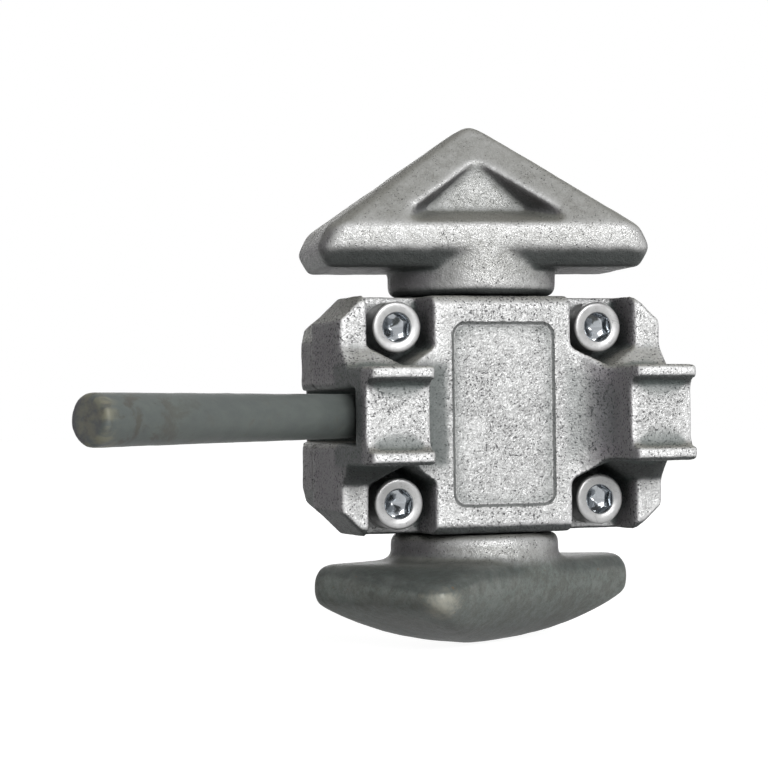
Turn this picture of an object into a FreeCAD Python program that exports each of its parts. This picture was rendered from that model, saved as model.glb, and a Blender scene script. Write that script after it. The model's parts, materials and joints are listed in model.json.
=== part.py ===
"""Manual stacking twistlock: a bolted two-piece cast housing round one turning spindle.

Frame: millimetres, +Z up along the spindle, X along the housing, -Y to the front.
The origin is on the spindle axis, halfway between the two flange bearing faces.
"""
import FreeCAD
import Part
import math
import os

Vector = FreeCAD.Vector

# ---------------------------------------------------------------- collar and flange of the housing
COLLAR_HALF_LENGTH = 54.3      # end face to spindle axis
COLLAR_HALF_DEPTH = 27.8       # front face to the joint between the halves
COLLAR_HEIGHT = 22.45          # flange's bearing face to the collar's end
COLLAR_EDGE_BEVEL = 2.6        # along the upper and lower edges of the front face
END_BULGE = 0.5                # the end faces swell towards the joint
FLANGE_HALF_HEIGHT = 14.95     # bearing face to the flange's middle plane
SKIRT_HEIGHT = 6.5             # sloping root between the collar face and the flange
SKIRT_REACH = 5.8
LUG_WIDTH = 21.3               # along X, at its root
LUG_REACH = 56.0               # from the joint to the front of a lug
LUG_END_DRAFT = 0.7            # the lug's end leans in over its length
LUG_CORNER_ROUND = 2.0
SCOOP_RADIUS = 13.0            # hollow between the middle pad and a lug
SCOOP_SHARE = 0.9              # most of the way to the middle that a hollow may take
RIB_THICKNESS = 4.4            # two ribs edge the channel across the front of a lug
RIB_DEPTH = 5.3
RIB_ROUND = 1.8
CHANNEL_ROUND = 4.0
PANEL_HALF_WIDTH = 16.9        # plain sunk panel in the middle pad
PANEL_HALF_HEIGHT = 28.6
PANEL_CORNER = 4.0
PANEL_DEPTH = 0.6

# lead-ins that guide the collar into a corner casting: along X, along Z
FRONT_LEAD_X = 9.0
FRONT_LEAD_Z = 8.4
REAR_LEAD_X = 17.6
REAR_LEAD_Z = 14.0

# the rear half's lugs sit further in, and its outer corners are cut back behind the handle
REAR_LUG_SETBACK = 16.3        # the lug's outer side to the collar's end
REAR_LUG_WIDTH = 20.0
REAR_CORNER_Y = 12.0           # where the ends start to slant in

# ---------------------------------------------------------------- housing fasteners, M10
SCREW_FROM_END = 20.2          # axis to the collar's end face
SCREW_FROM_TOP = 9.9           # axis to the collar's upper or lower end
SCREW_RADIUS = 5.0
SCREW_HEAD_RADIUS = 8.0
SCREW_HEAD_HEIGHT = 10.0
SCREW_HEAD_BEVEL = 0.7
SCREW_SOCKET_FLATS = 8.0
SCREW_SOCKET_DEPTH = 5.5
SCREW_OVERRUN = 1.6            # end of the screw beyond the nut
SCREW_HOLE_CLEARANCE = 0.5     # radial
SPRING_WASHER_OUTER = 8.0
SPRING_WASHER_HEIGHT = 2.5
SPRING_WASHER_SLIT = 1.2
SPRING_WASHER_CLEARANCE = 0.2
SPRING_WASHER_CANT = 20.0      # the slit's slant
NUT_FLATS = 17.0
NUT_HEIGHT = 8.4
NUT_CLEARANCE = 0.15           # per side in its pocket
NUT_RIM_ANGLE = 30.0           # the rims' cones
NUT_TURN = 30.0                # turns two of its flats to the side walls of its pocket
WEB_THICKNESS = 11.35          # pocket floor to the joint, each half
HEAD_POCKET_FLATS = 21.0
POCKET_DRAFT = 0.5             # the pocket widens by this per side to the face

# ---------------------------------------------------------------- spindle, hub and bearings
JOURNAL_RADIUS = 18.0
RUNNING_CLEARANCE = 0.06       # radial, journal in bush
BUSH_WALL = 2.4
BUSH_FLANGE_LIP = 0.2           # the bush's flange reaches this far past the hub
BUSH_FLANGE_THICKNESS = 2.0
BUSH_SPLIT_GAP = 0.1           # per side, at the joint between the halves
BUSH_SEAT_CLEARANCE = 0.02
BUSH_END_SETBACK = 1.5         # below the collar's end
HUB_RADIUS = 22.0
HUB_HALF_HEIGHT = 11.0
HUB_CLEARANCE = 0.5            # radial, in the cavity
THRUST_CLEARANCE = 0.35        # hub end to bush flange

NECK_RADIUS = 27.2
NECK_GAP = 0.6                 # collar end to the neck
NECK_RIM_ROUND = 3.0
NECK_ROOT_DEPTH = 8.0          # the neck runs on into the cone

# ---------------------------------------------------------------- cones
NECK_HEIGHT = 9.2              # collar's end to the bearing side of a cone
CONE_LENGTH_SETBACK = 0.3      # the cone passes the same aperture as the collar
CONE_WIDTH_SETBACK = 0.3
CONE_SIDE_BEVEL = 4.5          # long sides, over CONE_BEVEL_HEIGHT
CONE_END_BEVEL = 3.6           # ends
CONE_FACE_CORNER = 2.0         # corners of the bearing side
CONE_BEVEL_HEIGHT = 6.1
CONE_BAND_HEIGHT = 6.9         # upright band above the bevel
CONE_END_TAPER = 3.4           # the band's ends lean in
CONE_CORNER = 6.0
CONE_HEIGHT = 48.6             # bearing side to where the four slopes would meet
CONE_NOSE_CUT = 1.6            # taken off that by the rounded nose
UPPER_CONE_TURN = -9.0         # degrees about +Z
RECESS_FLOOR_Y = 9.5           # upright floor of the sunk triangle, from the axis
RECESS_BASE_HEIGHT = 18.4      # above the cone's bearing side
RECESS_TOP_HEIGHT = 34.4
RECESS_HALF_WIDTH = 18.2
RECESS_DRAFT = 0.68            # sideways per unit of depth
RECESS_BASE_DRAFT = 0.24
RECESS_MOUTH_ROUND = 2.5
RECESS_FLOOR_ROUND = 1.0

LOWER_CONE_TURN = 31.0         # degrees about +Z
LOWER_CONE_LENGTH_SETBACK = 2.3
LOWER_CONE_CORNER = 6.5
LOWER_CONE_HEIGHT = 27.1       # bearing side to the middle of the crowned underside
LOWER_WALL_HEIGHT = 11.2       # bearing side to the foot of the upright walls
LOWER_END_BEVEL = 1.0
LOWER_SIDE_BEVEL = 3.4
LOWER_BEVEL_HEIGHT = 3.4
RAMP_DROP = 6.5                # lead-in ramps on two opposite corners of the bearing side
RAMP_START_X = 22.0            # where a ramp's hinge line leaves the long side
RAMP_END_Y = 22.0              # and where it leaves the end

# ---------------------------------------------------------------- handle
HANDLE_TURN = 31.0             # degrees from -X towards the front
HANDLE_TRAVEL = 62.0           # degrees, swept to the rear
HANDLE_LENGTH = 170.0          # spindle axis to the tip
HANDLE_ROOT_RADIUS = 6.5       # where it leaves the hub
HANDLE_TIP_RADIUS = 7.65
HANDLE_TIP_ROUND = 1.4
HANDLE_TENON_RADIUS = 5.9
HANDLE_TENON_PAST_AXIS = 9.0
HANDLE_BORE_CLEARANCE = 0.1
HANDLE_PIN_RADIUS = 2.5
HANDLE_PIN_AT = 13.0           # spindle axis to the pin
HANDLE_PIN_INSET = 0.8         # pin ends below the hub's ends
SLOT_HALF_HEIGHT = 8.3
SLOT_END_CLEARANCE = 0.7       # rod to the slot's end wall
SLOT_LIP_ROUND = 2.8

# ---------------------------------------------------------------- detent and dowels
PLUNGER_RADIUS = 4.0
PLUNGER_LENGTH = 11.0
PLUNGER_CLEARANCE = 0.1
PLUNGER_HUB_GAP = 0.4          # drawn clear of the hub, between its dimples
DIMPLE_DEPTH = 1.3
DISC_SPRING_COUNT = 6
DISC_SPRING_THICKNESS = 0.6
DISC_SPRING_RISE = 0.6
DISC_SPRING_BORE = 2.1
DOWEL_RADIUS = 3.0
DOWEL_HALF_LENGTH = 7.5
DOWEL_CLEARANCE = 0.05
DOWEL_FROM_END = 6.8           # axis to the collar's end face
DOWEL_FROM_SCREW = 10.0        # axis to axis, along Z
DOWEL_BEVEL = 0.8

# ---------------------------------------------------------------- derived
COLLAR_HALF_HEIGHT = FLANGE_HALF_HEIGHT + COLLAR_HEIGHT
LUG_INNER_X = COLLAR_HALF_LENGTH - LUG_WIDTH
REAR_LUG_OUTER_X = COLLAR_HALF_LENGTH - REAR_LUG_SETBACK
REAR_LUG_INNER_X = REAR_LUG_OUTER_X - REAR_LUG_WIDTH
SCREW_X = COLLAR_HALF_LENGTH - SCREW_FROM_END
SCREW_Z = COLLAR_HALF_HEIGHT - SCREW_FROM_TOP
DOWEL_X = COLLAR_HALF_LENGTH - DOWEL_FROM_END
DOWEL_Z = SCREW_Z - DOWEL_FROM_SCREW
CONE_FACE_Z = COLLAR_HALF_HEIGHT + NECK_HEIGHT
CONE_HALF_LENGTH = COLLAR_HALF_LENGTH - CONE_LENGTH_SETBACK
CONE_HALF_WIDTH = COLLAR_HALF_DEPTH - CONE_WIDTH_SETBACK
CONE_TIP_Z = CONE_FACE_Z + CONE_HEIGHT
RECESS_BASE_Z = CONE_FACE_Z + RECESS_BASE_HEIGHT
RECESS_TOP_Z = CONE_FACE_Z + RECESS_TOP_HEIGHT
LOWER_CONE_HALF_LENGTH = COLLAR_HALF_LENGTH - LOWER_CONE_LENGTH_SETBACK
LOWER_CONE_BOTTOM_Z = -CONE_FACE_Z - LOWER_CONE_HEIGHT
CAVITY_HALF_HEIGHT = HUB_HALF_HEIGHT + THRUST_CLEARANCE + BUSH_FLANGE_THICKNESS
BUSH_FLANGE_RADIUS = HUB_RADIUS + BUSH_FLANGE_LIP
BUSH_INNER = JOURNAL_RADIUS + RUNNING_CLEARANCE
BUSH_OUTER = BUSH_INNER + BUSH_WALL
BUSH_END_Z = COLLAR_HALF_HEIGHT - BUSH_END_SETBACK
NECK_START_Z = COLLAR_HALF_HEIGHT + NECK_GAP
HEAD_SEAT_Y = -WEB_THICKNESS - SPRING_WASHER_HEIGHT
BAND_BOTTOM_Z = CONE_FACE_Z + CONE_BEVEL_HEIGHT
BAND_TOP_Z = BAND_BOTTOM_Z + CONE_BAND_HEIGHT
REACH = 4.0 * LUG_REACH        # longer than the housing, for tools that cut right through
ORIGIN = Vector(0, 0, 0)
UP = Vector(0, 0, 1)
ACROSS = Vector(1, 0, 0)
BACK = Vector(0, 1, 0)


# ---------------------------------------------------------------- profile helpers
def polygon(points):
    """Closed face through points."""
    return Part.Face(Part.makePolygon(points + points[:1]))


def rounded(points, radii):
    """Closed wire through points, each corner rounded to its radius (0 keeps it sharp)."""
    count = len(points)
    starts = []
    ends = []
    for i, corner in enumerate(points):
        to_last = (points[i - 1] - corner).normalize()
        to_next = (points[(i + 1) % count] - corner).normalize()
        half_angle = to_last.getAngle(to_next) / 2
        setback = radii[i] / math.tan(half_angle)
        starts.append(corner + to_last * setback)
        ends.append(corner + to_next * setback)
    edges = []
    for i, corner in enumerate(points):
        if radii[i] > 0:
            bisector = ((starts[i] + ends[i]) * 0.5 - corner).normalize()
            to_last = (starts[i] - corner).normalize()
            half_angle = to_last.getAngle(bisector)
            middle = corner + bisector * (radii[i] / math.sin(half_angle) - radii[i])
            edges.append(Part.Arc(starts[i], middle, ends[i]).toShape())
        following = starts[(i + 1) % count]
        if ends[i].distanceToPoint(following) > 1e-6:
            edges.append(Part.LineSegment(ends[i], following).toShape())
    return Part.Wire(edges)


def plan_rectangle(half_x, half_y, corner, z):
    """Rounded rectangle in a level plane."""
    points = [Vector(half_x, -half_y, z), Vector(half_x, half_y, z)]
    points += [Vector(-half_x, half_y, z), Vector(-half_x, -half_y, z)]
    return rounded(points, [corner] * 4)


def cylinder(radius, start, end):
    """Round bar between two points."""
    return Part.makeCylinder(radius, start.distanceToPoint(end), start, end - start)


def turned(points, start=ORIGIN, direction=UP, angle=360):
    """Solid of revolution: points are (radius, distance along direction from start)."""
    profile = polygon([Vector(r, 0, h) for r, h in points])
    solid = profile.revolve(ORIGIN, UP, angle)
    solid.Placement = FreeCAD.Placement(start, FreeCAD.Rotation(UP, direction))
    return solid


def hexagon(flats, center_x, center_z, y):
    """Corners of an upright hexagon, one corner up and one down."""
    corner = flats / math.sqrt(3)
    turns = [math.radians(60 * i + 90) for i in range(6)]
    return [Vector(center_x + corner * math.cos(t), y, center_z + corner * math.sin(t)) for t in turns]


def mirrored(shape):
    """The same shape on the other side of the joint."""
    return shape.mirror(ORIGIN, BACK)


def spun(shape, degrees):
    """Copy of shape turned about the spindle axis."""
    copy = shape.copy()
    copy.rotate(ORIGIN, UP, degrees)
    return copy


# ---------------------------------------------------------------- housing
def side_profile():
    """Section of a half across X: collar, sloping skirt, flange and channelled lug."""
    bevel = COLLAR_EDGE_BEVEL
    skirt_z = FLANGE_HALF_HEIGHT + SKIRT_HEIGHT
    skirt_y = -COLLAR_HALF_DEPTH - SKIRT_REACH
    rib_z = FLANGE_HALF_HEIGHT - RIB_THICKNESS
    channel_y = -LUG_REACH + RIB_DEPTH
    upper = [(0, COLLAR_HALF_HEIGHT, 0)]
    upper += [(-COLLAR_HALF_DEPTH + bevel, COLLAR_HALF_HEIGHT, bevel)]
    upper += [(-COLLAR_HALF_DEPTH, COLLAR_HALF_HEIGHT - bevel, bevel)]
    upper += [(-COLLAR_HALF_DEPTH, skirt_z, SKIRT_HEIGHT / 2)]
    upper += [(skirt_y, FLANGE_HALF_HEIGHT, SKIRT_HEIGHT / 2)]
    upper += [(-LUG_REACH, FLANGE_HALF_HEIGHT, RIB_ROUND)]
    upper += [(-LUG_REACH, rib_z, RIB_ROUND)]
    upper += [(channel_y, rib_z, CHANNEL_ROUND * 0.8)]
    lower = [(y, -z, r) for y, z, r in reversed(upper)]
    outline = upper + lower
    return rounded([Vector(0, y, z) for y, z, r in outline], [r for y, z, r in outline])


def scoop_radius(inner_x):
    """Hollow beside a lug, which leaves part of the middle face flat."""
    return min(SCOOP_RADIUS, SCOOP_SHARE * inner_x)


def front_plan():
    """Right-hand corners of the front half from above: end, lug and scoop, with their radii."""
    end_x = COLLAR_HALF_LENGTH
    corners = [(end_x + END_BULGE, 0, 0)]
    corners += [(end_x, -COLLAR_HALF_DEPTH, 0)]
    corners += [(end_x - LUG_END_DRAFT, -LUG_REACH, LUG_CORNER_ROUND)]
    corners += [(LUG_INNER_X, -LUG_REACH, LUG_CORNER_ROUND)]
    corners += [(LUG_INNER_X, -COLLAR_HALF_DEPTH, scoop_radius(LUG_INNER_X))]
    return corners


def rear_plan():
    """The same for the rear half, whose lugs sit inside its slanted ends."""
    corners = [(COLLAR_HALF_LENGTH + END_BULGE, 0, 0)]
    corners += [(COLLAR_HALF_LENGTH, -REAR_CORNER_Y, 0)]
    corners += [(REAR_LUG_OUTER_X, -LUG_REACH, LUG_CORNER_ROUND)]
    corners += [(REAR_LUG_INNER_X, -LUG_REACH, LUG_CORNER_ROUND)]
    corners += [(REAR_LUG_INNER_X, -COLLAR_HALF_DEPTH, scoop_radius(REAR_LUG_INNER_X))]
    return corners


def plan_profile(corners):
    """Outline of a half from above, symmetric about its middle."""
    outline = corners + [(-x, y, r) for x, y, r in reversed(corners)]
    return rounded([Vector(x, y, 0) for x, y, r in outline], [r for x, y, r in outline])


def lead_in_tools(lead_x, lead_z):
    """Wedges that bevel the four outer corners of the collar, as seen from the front."""
    tools = []
    end_x = COLLAR_HALF_LENGTH + END_BULGE
    for side_x in (-1, 1):
        for side_z in (-1, 1):
            inner = Vector(side_x * (end_x - lead_x), 0, side_z * COLLAR_HALF_HEIGHT)
            outer = Vector(side_x * end_x, 0, side_z * (COLLAR_HALF_HEIGHT - lead_z))
            run = (inner - outer).normalize()
            away = Vector(side_x, 0, side_z) * REACH
            corners = [inner + run * lead_x, outer - run * lead_z]
            corners += [outer + away, inner + away]
            face = polygon([Vector(p.x, -REACH, p.z) for p in corners])
            tools.append(face.extrude(BACK * (REACH + 1)))
    return tools


def pocket_tool(flats, side_x, side_z):
    """Hexagon-ended channel that takes a screw head or nut, open at the collar's end."""
    sections = []
    for depth, grow in ((WEB_THICKNESS, 0), (COLLAR_HALF_DEPTH, POCKET_DRAFT), (LUG_REACH, POCKET_DRAFT)):
        corners = hexagon(flats + 2 * grow, 0, 0, -depth)
        half = flats / 2 + grow
        mouth = COLLAR_HALF_HEIGHT
        low_left, low, low_right = corners[2], corners[3], corners[4]
        outline = [Vector(half, -depth, mouth), Vector(-half, -depth, mouth), low_left, low, low_right]
        for point in outline:
            point.x = side_x * (SCREW_X + point.x)
            point.z = side_z * (SCREW_Z + point.z)
        sections.append(Part.makePolygon(outline + outline[:1]))
    return Part.makeLoft(sections, True, True)


def slot_tool():
    """Space swept by the handle: two walls along the rod's end positions, lips rounded."""
    exit_distance = COLLAR_HALF_LENGTH / math.cos(math.radians(HANDLE_TURN))
    wall = handle_radius(exit_distance) + SLOT_END_CLEARANCE
    turn = math.radians(HANDLE_TURN)
    along = Vector(-math.cos(turn), -math.sin(turn), 0)
    aside = Vector(math.sin(turn), -math.cos(turn), 0)
    near = aside * wall
    far = near + along * REACH
    front = [near, far]
    rear = [Vector(p.x, -p.y, 0) for p in reversed(front)]
    plan = polygon([p - UP * REACH for p in front + rear]).extrude(UP * 2 * REACH)
    lip_x = -COLLAR_HALF_LENGTH
    half = SLOT_HALF_HEIGHT
    flare = SLOT_LIP_ROUND
    upper = [Vector(wall * 2, 0, half), Vector(lip_x + flare, 0, half)]
    lower = [Vector(p.x, 0, -p.z) for p in reversed(upper)]
    mouth = Vector(lip_x - END_BULGE, 0, half + flare)
    bend = Vector(lip_x + flare * 0.25, 0, half + flare * 0.2)
    outer = Vector(-REACH, 0, half + flare)
    edges = [Part.LineSegment(upper[0], upper[1]).toShape()]
    edges.append(Part.Arc(upper[1], bend, mouth).toShape())
    edges.append(Part.LineSegment(mouth, outer).toShape())
    edges.append(Part.LineSegment(outer, Vector(outer.x, 0, -outer.z)).toShape())
    edges.append(Part.LineSegment(Vector(outer.x, 0, -outer.z), Vector(mouth.x, 0, -mouth.z)).toShape())
    edges.append(Part.Arc(Vector(mouth.x, 0, -mouth.z), Vector(bend.x, 0, -bend.z), lower[0]).toShape())
    edges.append(Part.LineSegment(lower[0], lower[1]).toShape())
    edges.append(Part.LineSegment(lower[1], upper[0]).toShape())
    side = Part.Face(Part.Wire(edges))
    side.translate(-BACK * REACH)
    return side.extrude(BACK * 2 * REACH).common(plan)


def cavity_tool():
    """Bearing bores and the hub's chamber, on the spindle axis."""
    bore = BUSH_OUTER + BUSH_SEAT_CLEARANCE
    chamber = HUB_RADIUS + HUB_CLEARANCE
    half = CAVITY_HALF_HEIGHT + BUSH_SEAT_CLEARANCE
    outline = [(0, -REACH), (bore, -REACH), (bore, -half), (chamber, -half)]
    outline += [(chamber, half), (bore, half), (bore, REACH), (0, REACH)]
    return turned(outline)


def detent_bore():
    """Blind round groove for the plunger and its springs, shared by both halves."""
    end = detent_spring_end()
    return cylinder(PLUNGER_RADIUS + PLUNGER_CLEARANCE, ORIGIN, ACROSS * end)


def detent_spring_end():
    start = HUB_RADIUS + PLUNGER_HUB_GAP + PLUNGER_LENGTH
    return start + DISC_SPRING_COUNT * (DISC_SPRING_THICKNESS + DISC_SPRING_RISE)


def housing_half(plan_corners, lead_x, lead_z, pocket_flats):
    """One casting in the front position, without what only one of the halves has."""
    along_x = Part.Face(side_profile())
    along_x.translate(-ACROSS * REACH)
    along_x = along_x.extrude(ACROSS * 2 * REACH)
    along_z = Part.Face(plan_profile(plan_corners))
    along_z.translate(-UP * REACH)
    along_z = along_z.extrude(UP * 2 * REACH)
    body = along_z.common(along_x)
    body = body.cut(lead_in_tools(lead_x, lead_z))
    tools = [cavity_tool(), slot_tool(), detent_bore()]
    hole = SCREW_RADIUS + SCREW_HOLE_CLEARANCE
    for side_x in (-1, 1):
        for side_z in (-1, 1):
            tools.append(pocket_tool(pocket_flats, side_x, side_z))
            start = Vector(side_x * SCREW_X, -LUG_REACH, side_z * SCREW_Z)
            tools.append(cylinder(hole, start, start + BACK * 2 * LUG_REACH))
    for place in dowel_places():
        reach = BACK * (DOWEL_HALF_LENGTH + DOWEL_CLEARANCE)
        tools.append(cylinder(DOWEL_RADIUS + DOWEL_CLEARANCE, place - reach, place + reach))
    return body.cut(tools)


def front_housing():
    """Front casting: screw-head pockets and the plain sunk panel on the middle pad."""
    body = housing_half(front_plan(), FRONT_LEAD_X, FRONT_LEAD_Z, HEAD_POCKET_FLATS)
    panel = Part.Face(plan_rectangle(PANEL_HALF_WIDTH, PANEL_HALF_HEIGHT, PANEL_CORNER, 0))
    panel.rotate(ORIGIN, ACROSS, 90)
    panel.translate(BACK * (-COLLAR_HALF_DEPTH + PANEL_DEPTH))
    return body.cut(panel.extrude(-BACK * LUG_REACH))


def rear_housing():
    """Rear casting: nut pockets and deeper lead-ins."""
    pocket_flats = NUT_FLATS + 2 * NUT_CLEARANCE
    return mirrored(housing_half(rear_plan(), REAR_LEAD_X, REAR_LEAD_Z, pocket_flats))


# ---------------------------------------------------------------- fasteners of the housing
def cap_screw(side_x, side_z):
    """M10 socket head cap screw, head to the front."""
    length = -HEAD_SEAT_Y + WEB_THICKNESS + NUT_HEIGHT + SCREW_OVERRUN
    top = SCREW_HEAD_HEIGHT
    bevel = SCREW_HEAD_BEVEL
    outline = [(0, -length), (SCREW_RADIUS - 1, -length), (SCREW_RADIUS, -length + 1), (SCREW_RADIUS, 0)]
    outline += [(SCREW_HEAD_RADIUS, 0), (SCREW_HEAD_RADIUS, top - bevel), (SCREW_HEAD_RADIUS - bevel, top)]
    outline += [(0, top)]
    place = Vector(side_x * SCREW_X, HEAD_SEAT_Y, side_z * SCREW_Z)
    screw = turned(outline, place, -BACK)
    face_y = HEAD_SEAT_Y - top
    socket = hexagon(SCREW_SOCKET_FLATS, place.x, place.z, face_y)
    drive = polygon(socket).extrude(BACK * SCREW_SOCKET_DEPTH)
    tip = SCREW_SOCKET_FLATS / 2
    cone = Part.makeCone(tip, 0, tip / 2, Vector(place.x, face_y + SCREW_SOCKET_DEPTH, place.z), BACK)
    return screw.cut([drive, cone])


def spring_washer(side_x, side_z):
    """Split spring washer under a screw head."""
    place = Vector(side_x * SCREW_X, -WEB_THICKNESS, side_z * SCREW_Z)
    inner = SCREW_RADIUS + SPRING_WASHER_CLEARANCE
    outline = [(inner, 0), (SPRING_WASHER_OUTER, 0)]
    outline += [(SPRING_WASHER_OUTER, SPRING_WASHER_HEIGHT), (inner, SPRING_WASHER_HEIGHT)]
    ring = turned(outline, place, -BACK)
    slit = Part.makeBox(SPRING_WASHER_SLIT, 4 * SPRING_WASHER_HEIGHT, SPRING_WASHER_OUTER + 1)
    slit.translate(Vector(-SPRING_WASHER_SLIT / 2, -2 * SPRING_WASHER_HEIGHT, 0))
    slit.rotate(ORIGIN, UP, SPRING_WASHER_CANT)
    slit.translate(place - BACK * SPRING_WASHER_HEIGHT / 2)
    return ring.cut(slit)


def hex_nut(flats, height, bore, place, direction, spin=0):
    """Hexagon nut with both rims coned off; place is its seat."""
    corner = flats / math.sqrt(3)
    cone = (corner - flats / 2) * math.tan(math.radians(NUT_RIM_ANGLE))
    points = [Vector(corner * math.cos(math.radians(60 * i)), corner * math.sin(math.radians(60 * i)), 0)
              for i in range(6)]
    prism = polygon(points).extrude(UP * height)
    prism.rotate(ORIGIN, UP, spin)
    outline = [(bore, 0), (flats / 2, 0), (corner, cone), (corner, height - cone), (flats / 2, height)]
    outline += [(bore, height)]
    nut = prism.common(turned(outline))
    nut.Placement = FreeCAD.Placement(place, FreeCAD.Rotation(UP, direction)).multiply(nut.Placement)
    return nut


def housing_nut(side_x, side_z):
    """Captive M10 nut in the rear half, two flats against its pocket's walls."""
    place = Vector(side_x * SCREW_X, WEB_THICKNESS, side_z * SCREW_Z)
    return hex_nut(NUT_FLATS, NUT_HEIGHT, SCREW_RADIUS, place, BACK, NUT_TURN)


def dowel_places():
    """Two dowels in the joint at opposite corners."""
    return [Vector(DOWEL_X, 0, -DOWEL_Z), Vector(-DOWEL_X, 0, DOWEL_Z)]


def dowel(place):
    half = DOWEL_HALF_LENGTH
    bevel = DOWEL_BEVEL
    outline = [(0, -half), (DOWEL_RADIUS - bevel, -half), (DOWEL_RADIUS, -half + bevel)]
    outline += [(DOWEL_RADIUS, half - bevel), (DOWEL_RADIUS - bevel, half), (0, half)]
    return turned(outline, place, BACK)


# ---------------------------------------------------------------- bearings
def bush_half(side_y, side_z):
    """Flanged half-shell: its flange takes the hub's thrust, its sleeve the journal."""
    flange_in = HUB_HALF_HEIGHT + THRUST_CLEARANCE
    outline = [(BUSH_INNER, flange_in), (BUSH_FLANGE_RADIUS, flange_in)]
    outline += [(BUSH_FLANGE_RADIUS, CAVITY_HALF_HEIGHT), (BUSH_OUTER, CAVITY_HALF_HEIGHT)]
    outline += [(BUSH_OUTER, BUSH_END_Z), (BUSH_INNER, BUSH_END_Z)]
    ring = turned([(r, side_z * z) for r, z in outline])
    window = Part.makeBox(REACH, REACH, 2 * REACH)
    window.translate(Vector(-REACH / 2, BUSH_SPLIT_GAP, -REACH))
    if side_y < 0:
        window = mirrored(window)
    return ring.common(window)


# ---------------------------------------------------------------- detent
def detent_plunger():
    """Round-nosed plunger that drops into a dimple of the hub at each end of the travel."""
    nose = HUB_RADIUS + PLUNGER_HUB_GAP
    ball = Part.makeSphere(PLUNGER_RADIUS, Vector(nose + PLUNGER_RADIUS, 0, 0))
    bar = cylinder(PLUNGER_RADIUS, ACROSS * (nose + PLUNGER_RADIUS), ACROSS * (nose + PLUNGER_LENGTH))
    return ball.fuse(bar).removeSplitter()


def detent_springs():
    """Stack of disc springs behind the plunger, cupped in pairs."""
    discs = []
    pitch = DISC_SPRING_THICKNESS + DISC_SPRING_RISE
    start = HUB_RADIUS + PLUNGER_HUB_GAP + PLUNGER_LENGTH
    thick = DISC_SPRING_THICKNESS
    rise = DISC_SPRING_RISE - 0.04
    for i in range(DISC_SPRING_COUNT):
        inner, outer = (0, rise) if i % 2 else (rise, 0)
        outline = [(DISC_SPRING_BORE, inner), (PLUNGER_RADIUS, outer)]
        outline += [(PLUNGER_RADIUS, outer + thick), (DISC_SPRING_BORE, inner + thick)]
        discs.append(turned(outline, ACROSS * (start + 0.02 + i * pitch), ACROSS))
    return Part.makeCompound(discs)


# ---------------------------------------------------------------- spindle
def cone_blank():
    """Upper cone: bevelled base, upright band and four slopes to a rounded nose."""
    end = CONE_HALF_LENGTH
    side = CONE_HALF_WIDTH
    slope_height = CONE_TIP_Z - BAND_TOP_Z
    top_end = end - CONE_END_TAPER
    sections = [(end - CONE_END_BEVEL, side - CONE_SIDE_BEVEL, CONE_FACE_Z)]
    sections += [(end, side, BAND_BOTTOM_Z), (top_end, side, BAND_TOP_Z)]
    for below_tip in (2.0, 1.35, 1.1):
        z = CONE_TIP_Z - CONE_NOSE_CUT * below_tip
        part = (CONE_TIP_Z - z) / slope_height * (0.95 if below_tip > 1.5 else 0.8)
        sections.append((top_end * part, side * part, z))
    last = CONE_NOSE_CUT / slope_height * 0.45
    sections.append((top_end * last, side * last, CONE_TIP_Z - CONE_NOSE_CUT))
    wires = [plan_rectangle(x, y, min(CONE_CORNER, 0.7 * y), z) for x, y, z in sections]
    wires[0] = plan_rectangle(sections[0][0], sections[0][1], CONE_FACE_CORNER, CONE_FACE_Z)
    return Part.makeLoft(wires, True, True)


def recess_tool():
    """Drafted triangle sunk in the cone's front slope."""
    depth = CONE_HALF_WIDTH - RECESS_FLOOR_Y
    slant = (RECESS_TOP_Z - RECESS_BASE_Z) / RECESS_HALF_WIDTH
    wide = RECESS_HALF_WIDTH + RECESS_DRAFT * depth
    low = RECESS_BASE_Z - RECESS_BASE_DRAFT * depth
    high = low + slant * wide
    mouth_y = -CONE_HALF_WIDTH
    mouth = [Vector(-wide, mouth_y, low), Vector(wide, mouth_y, low), Vector(0, mouth_y, high)]
    floor = [Vector(-RECESS_HALF_WIDTH, -RECESS_FLOOR_Y, RECESS_BASE_Z)]
    floor += [Vector(RECESS_HALF_WIDTH, -RECESS_FLOOR_Y, RECESS_BASE_Z)]
    floor += [Vector(0, -RECESS_FLOOR_Y, RECESS_TOP_Z)]
    wires = [rounded(mouth, [RECESS_MOUTH_ROUND] * 3), rounded(floor, [RECESS_FLOOR_ROUND] * 3)]
    return Part.makeLoft(wires, True, True)


def neck(side_z):
    """Round neck between the collar and a cone, its free rim rounded."""
    start = NECK_START_Z
    stop = CONE_FACE_Z + NECK_ROOT_DEPTH
    rim = NECK_RIM_ROUND
    bar = cylinder(NECK_RADIUS, UP * start, UP * stop)
    edges = [e for e in bar.Edges if e.BoundBox.ZLength < 0.01 and abs(e.BoundBox.ZMin - start) < 0.01]
    bar = bar.makeFillet(rim, edges)
    return bar if side_z > 0 else bar.mirror(ORIGIN, UP)


def crown(half_span, direction):
    """Prism along direction whose underside is an arc from wall foot to wall foot."""
    rise = LOWER_CONE_HEIGHT - LOWER_WALL_HEIGHT
    radius = (half_span ** 2 + rise ** 2) / (2 * rise)
    across = direction.cross(UP)
    reach = (half_span + radius) / 2
    bottom = UP * LOWER_CONE_BOTTOM_Z
    edge = bottom + UP * (radius - math.sqrt(radius ** 2 - reach ** 2))
    left = edge - across * reach
    right = edge + across * reach
    edges = [Part.Arc(left, bottom, right).toShape()]
    edges.append(Part.LineSegment(right, across * reach).toShape())
    edges.append(Part.LineSegment(across * reach, across * -reach).toShape())
    edges.append(Part.LineSegment(across * -reach, left).toShape())
    face = Part.Face(Part.Wire(edges))
    face.translate(-direction * REACH)
    return face.extrude(direction * 2 * REACH)


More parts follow.
